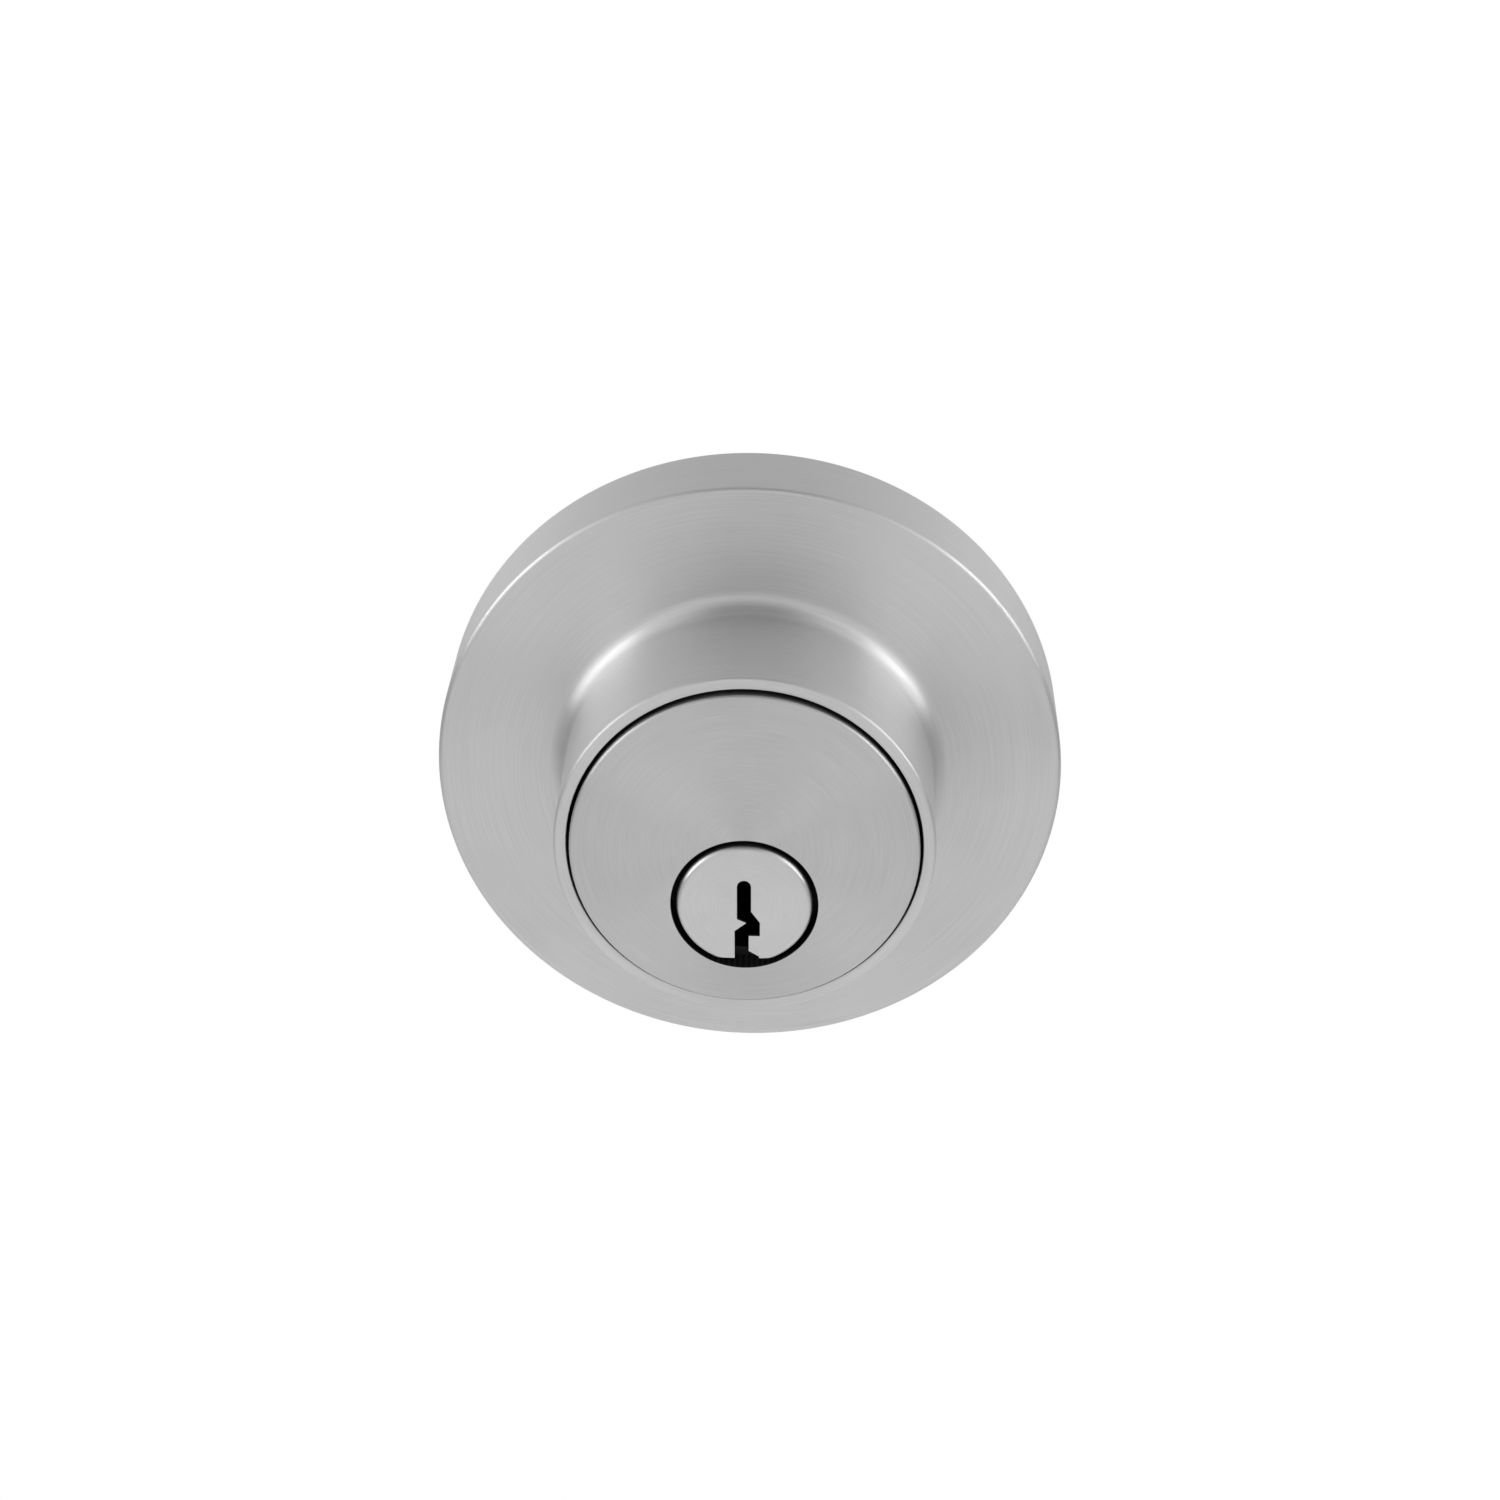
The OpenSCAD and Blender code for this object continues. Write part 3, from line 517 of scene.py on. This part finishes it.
FINISHES = {
    # Stainless steel finished on a lathe with a fine pad: soft fans of light round the axis
    "satin_stainless": metal(
        "satin_stainless_steel", "e3e3e3", "d5d5d5", 0.42, in_rings(0.0, 0.12), 18.0, 0.22, 0.005, 0.8
    ),
    # The cylinder's face, ringed a little finer and greyer than the rose, with painted shade in the plug's
    # bore
    "brushed_face": metal(
        "ring_brushed_steel",
        "d6d6d6",
        "cacaca",
        0.42,
        in_rings(0.0, 0.11),
        14.0,
        0.22,
        0.005,
        0.8,
        recess_shade=bore_shade(PLUG_Z, PLUG_R + HEAD_GAP),
    ),
    # Nickel plate over turned brass, brighter and finer than the steel round it; the keyway has painted
    # shade
    "nickel_plug": metal(
        "satin_nickel",
        "dddddd",
        "d1d1d1",
        0.36,
        in_rings(PLUG_Z, 0.1),
        6.0,
        0.22,
        0.004,
        0.6,
        recess_shade=slot_shade(KEYWAY_HALF, -HEAD_OUT, PLUG_Z + KEYWAY_TOP),
    ),
    # Belt-brushed steel: grit lines along the bolt
    "satin_bolt": metal(
        "brushed_steel_bolt", "cbcbca", "b0b0af", 0.4, straight((1, 0, 0), 0.13), 16.0, 0.2, 0.007, 0.7
    ),
    # Nickel-plated screws: a small, even shine
    "satin_screws": metal("satin_nickel_screws", "cccbc9", "b3b2af", 0.3, speckled(0.3), 3.0, 0.25, 0.004),
    # Die-cast zinc, left as it comes from the mould: dull, with a faint flow pattern
    "cast_zinc": metal("cast_zinc", "a4a6a8", "85878a", 0.48, speckled(0.45), 5.0, 0.2, 0.02),
    # Steel sheet with clear zinc plating: a cool, slightly blotchy shine
    "zinc_plated_steel": metal(
        "zinc_plated_steel", "c0c5cb", "a3a9b2", 0.33, speckled(0.3), 7.0, 0.2, 0.006
    ),
    # Hardened and ground steel, darker and plain
    "hardened_steel": metal("hardened_steel", "97999c", "787a7e", 0.36, speckled(0.25), 6.0, 0.2, 0.006),
    # Drawn wire and strip, with a slight warm tint
    "spring_steel": metal("spring_steel", "a8a6a4", "888684", 0.3, speckled(0.2), 3.0, 0.2, 0.004),
    # Turned brass, bright yellow
    "brass": metal("brass", "dcbb74", "bf9a55", 0.28, speckled(0.25), 4.0, 0.2, 0.004),
    # Nickel silver pins, pale and faintly yellow
    "nickel_silver": metal("nickel_silver", "cfc9bc", "b3ad9f", 0.28, speckled(0.2), 3.0, 0.2, 0.004),
    # Blackened steel, nearly black with a soft sheen
    "black_oxide": metal("black_oxide_steel", "3c3d3f", "28292b", 0.42, speckled(0.2), 2.5, 0.2, 0.006),
    # Moulded nylon, an off-white with a waxy sheen
    "nylon": metal("nylon", "ecebe6", "dddbd4", 0.46, speckled(0.3), 4.0, 0.2, 0.006, metallic=0.0),
    # Steel brushed on a belt: grit lines up and down the thumb turn
    "turn_blade": metal(
        "belt_brushed_turn", "d0d0d0", "b9b9b9", 0.4, straight((0, 0, 1), 0.13), 12.0, 0.2, 0.006, 0.7
    ),
    # The same up and down the faceplate, a little broader in its clouds
    "belt_brushed_plate": metal(
        "belt_brushed_plate", "cfcfcf", "b8b8b8", 0.4, straight((0, 0, 1), 0.13), 14.0, 0.2, 0.006, 0.7
    ),
}
SLOT_OF = {}
for name, node in NODES.items():
    place = node.material_slots[0]
    SLOT_OF[name] = place.material.name.split(".")[0]
    place.material = FINISHES[SLOT_OF[name]]


# ---------------------------------------------------------------- outside unit
def outer_rose():
    """Rose and collar drawn from one sheet."""
    bore = COLLAR_R - SHELL
    outline = (
        [(ROSE_R - SHELL, 0), (ROSE_R, 0)]
        + arc((ROSE_R - EDGE_R, ROSE_H - EDGE_R), EDGE_R, 0, 90)
        + arc((COLLAR_R + BASE_FILLET, ROSE_H + BASE_FILLET), BASE_FILLET, 270, 180, 24)
        + arc((COLLAR_R - RIM_R, NOSE_OUT - RIM_R), RIM_R, 0, 90, 8)
        + arc((bore + MOUTH_R, NOSE_OUT - MOUTH_R), MOUTH_R, 90, 180, 4)
        + [(bore, ROSE_H - SHELL), (ROSE_R - SHELL, ROSE_H - SHELL)]
    )
    new_piece("rose_shell", turned(outline), "root", "satin_stainless", ["outer_rose"])


outer_rose()


# ---------------------------------------------------------------- inside unit
def inner_rose():
    """Inside rose with the raised ring that the thumb turn stands on, and its bore."""
    inner_wall = INNER_FACE - SHELL
    shell = turned(
        [(ROSE_R - SHELL, DOOR_T), (ROSE_R, DOOR_T)]
        + arc((ROSE_R - EDGE_R, INNER_FACE - EDGE_R), EDGE_R, 0, 90)
        + [(0, INNER_FACE), (0, inner_wall), (ROSE_R - SHELL, inner_wall)],
        side=1,
    )
    foot = 0.8
    ring = turned(
        [(0, inner_wall + 0.01), (BOSS_R + foot, inner_wall + 0.01), (BOSS_R + foot, INNER_FACE)]
        + arc((BOSS_R + foot, INNER_FACE + foot), foot, 270, 180, 8)
        + arc((BOSS_R - 1, BOSS_IN - 1), 1.0, 0, 90, 10)
        + [(0, BOSS_IN)],
        z=PLUG_Z,
        side=1,
    )
    bore = SPINDLE_R + 2.1
    hole = turned(
        [(0, inner_wall - PAST), (bore, inner_wall - PAST), (bore, BOSS_IN + PAST), (0, BOSS_IN + PAST)],
        z=PLUG_Z,
        side=1,
    )
    body = combined(combined(shell, ring, "UNION"), hole, "DIFFERENCE")
    screw_low, screw_high = box_mm("rose_set_screw")
    y, z = (screw_low.y + screw_high.y) / 2, (screw_low.z + screw_high.z) / 2
    r = (screw_high.z - screw_low.z) / 2 + 0.3
    drill = prism(arc((y, z), r, 0, 360, 48)[:-1], -ROSE_R - PAST, -ROSE_R + 2 * PAST, "X")
    body = combined(body, drill, "DIFFERENCE")
    new_piece("inside_rose_shell", body, "root", "satin_stainless", ["inner_rose"])


inner_rose()


def thumb_turn():
    """Round base and a waisted blade with rounded edges, as one casting."""
    back = TURN_LOW.y
    base = turned(
        [(0, back), (TURN_BASE_R - 0.3, back)]
        + arc((TURN_BASE_R - 0.3, back + 0.3), 0.3, 270, 360, 4)
        + arc((TURN_BASE_R - 1, back + TURN_BASE_T - 1), 1.0, 0, 90, 10)
        + [(0, back + TURN_BASE_T)],
        z=PLUG_Z,
        side=1,
        turns=192,
    )
    half_t, half_l, tip = BLADE_T / 2, BLADE_HALF_L, TURN_HIGH.y
    outline = [
        (half_t * math.cos(t), math.copysign(half_l - half_t, math.sin(t)) + half_t * math.sin(t))
        for t in (math.pi * (k + 0.5) / 24 for k in range(48))
    ]
    bm = bmesh.new()
    levels = 26
    rings = []
    root = back + TURN_BASE_T - 1
    for j in range(levels + 1):
        t = j / levels
        y = root + (tip - root) * t
        # The blade is a little slimmer in the middle of its height, and its ends are drawn in at the top
        waist = 1 - 0.1 * math.sin(math.pi * min(1.0, t / 0.8))
        crown = math.sqrt(max(0.0, 1 - (max(0.0, t - 0.86) / 0.14) ** 2))
        lean = 1 - 0.05 * t
        narrow, short = 0.72 + 0.28 * crown, 0.95 + 0.05 * crown
        rings.append(
            [
                bm.verts.new((x * waist * narrow, y, PLUG_Z + z * lean * short))
                for x, z in outline
            ]
        )
    for near, far in zip(rings, rings[1:]):
        for i in range(len(outline)):
            k = (i + 1) % len(outline)
            bm.faces.new((near[i], near[k], far[k], far[i]))
    bm.faces.new(rings[0][::-1])
    bm.faces.new(rings[-1])
    bmesh.ops.recalc_face_normals(bm, faces=bm.faces)
    body = combined(base, bm, "UNION")
    pocket_r, floor_y = SPINDLE_R + 0.05, back + TURN_BASE_T - 0.1
    pocket = turned(
        [(0, back - 1), (pocket_r, back - 1), (pocket_r, floor_y), (0, floor_y)],
        z=PLUG_Z,
        side=1,
        turns=128,
    )
    body = combined(body, pocket, "DIFFERENCE")
    y = back + TURN_BASE_T / 2
    drill = prism(arc((0, y), 1.3, 0, 360, 32)[:-1], PLUG_Z - TURN_BASE_R - 1, PLUG_Z, "Z")
    body = combined(body, drill, "DIFFERENCE")
    new_piece("thumb_turn_casting", body, "thumb_turn", "satin_stainless", ["thumb_turn"], "turn_blade")


thumb_turn()


# ---------------------------------------------------------------- bolt, edge and small pieces
# Nodes that keep their CAD shape with their edges broken, and by how many millimetres
SOFTENED = {
    "bolt_head": 0.22,
    "faceplate_backing": 0.15,
    "case_half_outer": 0.15,
    "case_half_inner": 0.15,
    "bolt_bar": 0.2,
    "bolt_hub": 0.2,
    "tailpiece": 0.2,
    "inner_plate": 0.25,
    "mounting_posts": 0.25,
    "plug_cap": 0.2,
    "turn_spindle": 0.2,
    "turn_bushing": 0.2,
    "cylinder_circlip": 0.15,
    "case_rivets": 0.25,
    "turn_circlip": 0.12,
}

for node_name, width in SOFTENED.items():
    softened(node_name, width)
softened("faceplate", 0.25, "belt_brushed_plate")


def wood_screws():
    """Countersunk wood screws with a cross recess and a coarse thread."""
    low, high = box_mm("faceplate_screws")
    length = high.x - low.x
    span = (high.z - low.z) / 2
    head_r = 4.1
    z_off = span - head_r
    parts = []
    for side in (-1, 1):
        profile = (
            [(0.0, head_r - 0.3), (0.12, head_r - 0.05), (0.3, head_r), (0.55, head_r - 0.1)]
            + [(2.3, 1.65), (3.9, 1.6), (4.0, 2.0), (length - 4.5, 2.0), (length, 0.12)]
        )
        shank = helix_screw(profile, (4.0, length, 1.9, 0.62))
        shank = combined(shank, cross_recess(2.1, 1.5), "DIFFERENCE")
        move = Matrix.Translation((high.x, BOLT_Y, side * z_off)) @ Matrix.Rotation(math.pi, 4, "Z")
        parts.append((shank, move))
    new_piece("wood_screws", merged(parts), "root", "satin_screws", ["faceplate_screws"])


wood_screws()


def machine_screws():
    """Pan-head screws with a fine thread, through the inside plate into the posts."""
    low, high = box_mm("mounting_screws")
    length = high.y - low.y
    head_h, head_r, shank_r, plain = 2.3, 4.2, 2.4, 12.0
    reach = high.z - head_r
    parts = []
    for side in (-1, 1):
        profile = [(head_h - y, r) for r, y in arc((head_r - 1.4, head_h - 1.4), 1.4, 90, 0, 8)]
        profile += [(head_h, head_r), (head_h, shank_r), (plain, shank_r)]
        profile += [(length - 0.8, shank_r), (length, shank_r - 0.7)]
        shank = helix_screw(profile, (plain, length - 0.8, 0.9, 0.42))
        shank = combined(shank, cross_recess(2.4, 1.5, 0.55), "DIFFERENCE")
        move = Matrix.Translation((0, high.y, side * reach)) @ Matrix.Rotation(-math.pi / 2, 4, "Z")
        parts.append((shank, move))
    new_piece("machine_screws", merged(parts), "root", "zinc_plated_steel", ["mounting_screws"])


machine_screws()


def spring(number):
    """Coil spring over a driver pin, of round wire with closed ends."""
    name = f"pin_spring_{number}"
    low, high = box_mm(name)
    wire, turns, sides, per_turn = 0.2, 7.5, 10, 28
    x, y = (low.x + high.x) / 2, (low.y + high.y) / 2
    radius = (high.x - low.x) / 2 - wire
    rise = high.z - low.z - 2 * wire
    bm = bmesh.new()
    rings = []
    total = int(turns * per_turn)
    for i in range(total + 1):
        t = i / total
        # Closed ends: the first and last turn lie almost flat
        ease = min(max((t * turns - 0.9) / (turns - 1.8), 0.0), 1.0)
        first, last = min(t * turns, 1.0), max(0.0, t * turns - turns + 1.0)
        up = wire + rise * (0.04 * first + 0.92 * ease + 0.04 * last)
        a = 2 * math.pi * t * turns
        ring = []
        for j in range(sides):
            b = 2 * math.pi * j / sides
            q = radius + wire * math.cos(b)
            height = low.z + up + wire * math.sin(b)
            ring.append(bm.verts.new((x + q * math.cos(a), y + q * math.sin(a), height)))
        rings.append(ring)
    for near, far in zip(rings, rings[1:]):
        for j in range(sides):
            k = (j + 1) % sides
            bm.faces.new((near[j], near[k], far[k], far[j]))
    bm.faces.new(rings[0][::-1])
    bm.faces.new(rings[-1])
    new_piece(f"coil_spring_{number}", bm, "root", "spring_steel", [name])


for number in range(1, 6):
    spring(number)


# ---------------------------------------------------------------- studio
WHITE = (1.0, 1.0, 1.0, 1.0)
# Strengths that the metal reflects: the sky's, and the card's straight behind the lock
AMBIENT = 0.8
BOARD_FELT = 0.56
# Where card and floor end, out of sight
FAR = 4000.0
# The seen card's hole hides just under the rose's rim; the reflected one's is well inside it
SEEN_HOLE = ROSE_R - 0.2
FELT_HOLE = 27.0


def shown_and_lit(tree, seen, felt):
    """A glow that is one strength to the camera and another to everything it lights."""
    ray = add(tree, "ShaderNodeLightPath").outputs["Is Camera Ray"]
    return add(tree, "ShaderNodeMix", {"Factor": ray, "A": felt, "B": seen}, data_type="FLOAT").outputs[0]


def card(name, hole, edge, seen, felt):
    """White card at the door's outer face, round the lock: its hole's radius and how far right it goes.

    seen is its strength to the camera and felt, straight behind the lock, to what reflects it.
    """
    turns, behind = 96, 0.02
    bm = bmesh.new()
    angles = [2 * math.pi * i / turns for i in range(turns)]
    spots = [(math.cos(a), math.sin(a)) for a in angles]
    inner = [bm.verts.new((hole * x, behind, hole * z)) for x, z in spots]
    outer = []
    for x, z in spots:
        far = min(FAR, edge / x) if x > 1e-6 else FAR
        outer.append(bm.verts.new((far * x, behind, far * z)))
    for i in range(turns):
        k = (i + 1) % turns
        bm.faces.new((inner[i], inner[k], outer[k], outer[i]))
    bmesh.ops.scale(bm, vec=(MM, MM, MM), verts=bm.verts)
    mesh = bpy.data.meshes.new(name)
    bm.to_mesh(mesh)
    bm.free()
    board = bpy.data.objects.new(name, mesh)
    bpy.context.scene.collection.objects.link(board)
    paper = bpy.data.materials.new(name)
    paper.use_nodes = True
    tree = paper.node_tree
    tree.nodes.clear()
    aside = split_up(tree, add(tree, "ShaderNodeNewGeometry").outputs["Position"])[1]
    fall = {"Value": aside, "From Min": 0.05, "From Max": 0.2, "To Min": felt, "To Max": felt * 0.6}
    dimmed = add(tree, "ShaderNodeMapRange", fall).outputs[0]
    glow = add(tree, "ShaderNodeEmission", {"Color": WHITE, "Strength": shown_and_lit(tree, seen, dimmed)})
    add(tree, "ShaderNodeOutputMaterial", {"Surface": glow.outputs[0]})
    mesh.materials.append(paper)
    for ray in ("diffuse", "transmission", "volume_scatter", "shadow"):
        setattr(board, "visible_" + ray, False)
    return board


# What the camera sees stops at the door's edge; what the metal reflects goes on past it
card("door_face", SEEN_HOLE, DOOR_EDGE, 1.0, BOARD_FELT).visible_glossy = False
card("reflector", FELT_HOLE, FAR, 1.0, BOARD_FELT).visible_camera = False


def floor():
    """Pale matt floor, well below the lock."""
    drop = 118.0
    corners = ((-1, -1), (1, -1), (1, 1), (-1, 1))
    mesh = bpy.data.meshes.new("floor")
    spots = [(x * FAR * MM, y * FAR * MM, -drop * MM) for x, y in corners]
    mesh.from_pydata(spots, [], [(0, 1, 2, 3)])
    sheet = bpy.data.objects.new("floor", mesh)
    bpy.context.scene.collection.objects.link(sheet)
    material = bpy.data.materials.new("pale_floor")
    material.use_nodes = True
    tree = material.node_tree
    shader = tree.nodes["Principled BSDF"]
    # The metal sees it fall off into shade on both sides
    aside = split_up(tree, add(tree, "ShaderNodeNewGeometry").outputs["Position"])[1]
    fall = {"Value": aside, "From Min": 0.08, "From Max": 0.35, "To Min": 0.9, "To Max": 0.3}
    dimmed = add(tree, "ShaderNodeMapRange", fall).outputs[0]
    tree.links.new(shown_and_lit(tree, 0.94, dimmed), shader.inputs["Base Color"])
    shader.inputs["Roughness"].default_value = 0.9
    shader.inputs["Emission Color"].default_value = WHITE
    tree.links.new(shown_and_lit(tree, 0.35, 0.0), shader.inputs["Emission Strength"])
    mesh.materials.append(material)


floor()


def softbox(name, place, size, power, aim=(0, 0, 0)):
    """A rectangular lamp at place, aimed at a point."""
    light = bpy.data.lights.new(name, "AREA")
    light.shape = "RECTANGLE"
    light.size, light.size_y = size[0] * MM, size[1] * MM
    light.energy = power
    lamp = bpy.data.objects.new(name, light)
    lamp.location = Vector(place) * MM
    lamp.rotation_mode = "QUATERNION"
    lamp.rotation_quaternion = (Vector(aim) - Vector(place)).to_track_quat("-Z", "Y")
    bpy.context.scene.collection.objects.link(lamp)


for side in (-1, 1):
    softbox("front_softbox", (side * 640, -335, 190), (180, 420), 0.9)
    softbox("back_softbox", (side * 620, 560, 300), (420, 620), 1.0, (0, 40, 0))

world = bpy.data.worlds.new("studio")
bpy.context.scene.world = world
world.use_nodes = True
tree = world.node_tree
tree.nodes.clear()
# A patch of shade overhead and in front, which gives the rose's front edge its dark line
way, aside = split_up(tree, add(tree, "ShaderNodeTexCoord").outputs["Generated"])
overhead = add(
    tree, "ShaderNodeMapRange", {"Value": way["Z"], "From Min": 0.6, "From Max": 0.76}
).outputs[0]
midway = add(
    tree, "ShaderNodeMapRange", {"Value": aside, "From Min": 0.6, "From Max": 0.25}
).outputs[0]
ahead = add(
    tree, "ShaderNodeMapRange", {"Value": way["Y"], "From Min": 0.0, "From Max": -0.2}
).outputs[0]
patch = add(tree, "ShaderNodeMath", {0: overhead, 1: midway}, operation="MULTIPLY").outputs[0]
gap = add(tree, "ShaderNodeMath", {0: patch, 1: ahead}, operation="MULTIPLY").outputs[0]
felt = add(
    tree, "ShaderNodeMapRange", {"Value": gap, "To Min": AMBIENT, "To Max": AMBIENT * 0.12}
).outputs[0]
sky = add(tree, "ShaderNodeBackground", {"Color": WHITE, "Strength": shown_and_lit(tree, 1.0, felt)})
add(tree, "ShaderNodeOutputWorld", {"Surface": sky.outputs[0]})
bpy.context.scene.view_settings.view_transform = "Standard"

# ---------------------------------------------------------------- camera
AZIMUTH, ELEVATION, DISTANCE = 1.69, 28.3, 298.0
TARGET = Vector((0.2, -12.0, 4.6))
SENSOR, LENS = 36.0, 69.6
lens = bpy.data.cameras.new("camera")
lens.sensor_width = SENSOR
lens.lens = LENS
lens.clip_start, lens.clip_end = 0.01, 20
camera = bpy.data.objects.new("camera", lens)
turn, rise = math.radians(AZIMUTH), math.radians(ELEVATION)
back = Vector((math.sin(turn) * math.cos(rise), -math.cos(turn) * math.cos(rise), math.sin(rise)))
camera.location = (TARGET + back * DISTANCE) * MM
camera.rotation_mode = "QUATERNION"
camera.rotation_quaternion = (-back).to_track_quat("-Z", "Y")
bpy.context.scene.collection.objects.link(camera)
bpy.context.scene.camera = camera
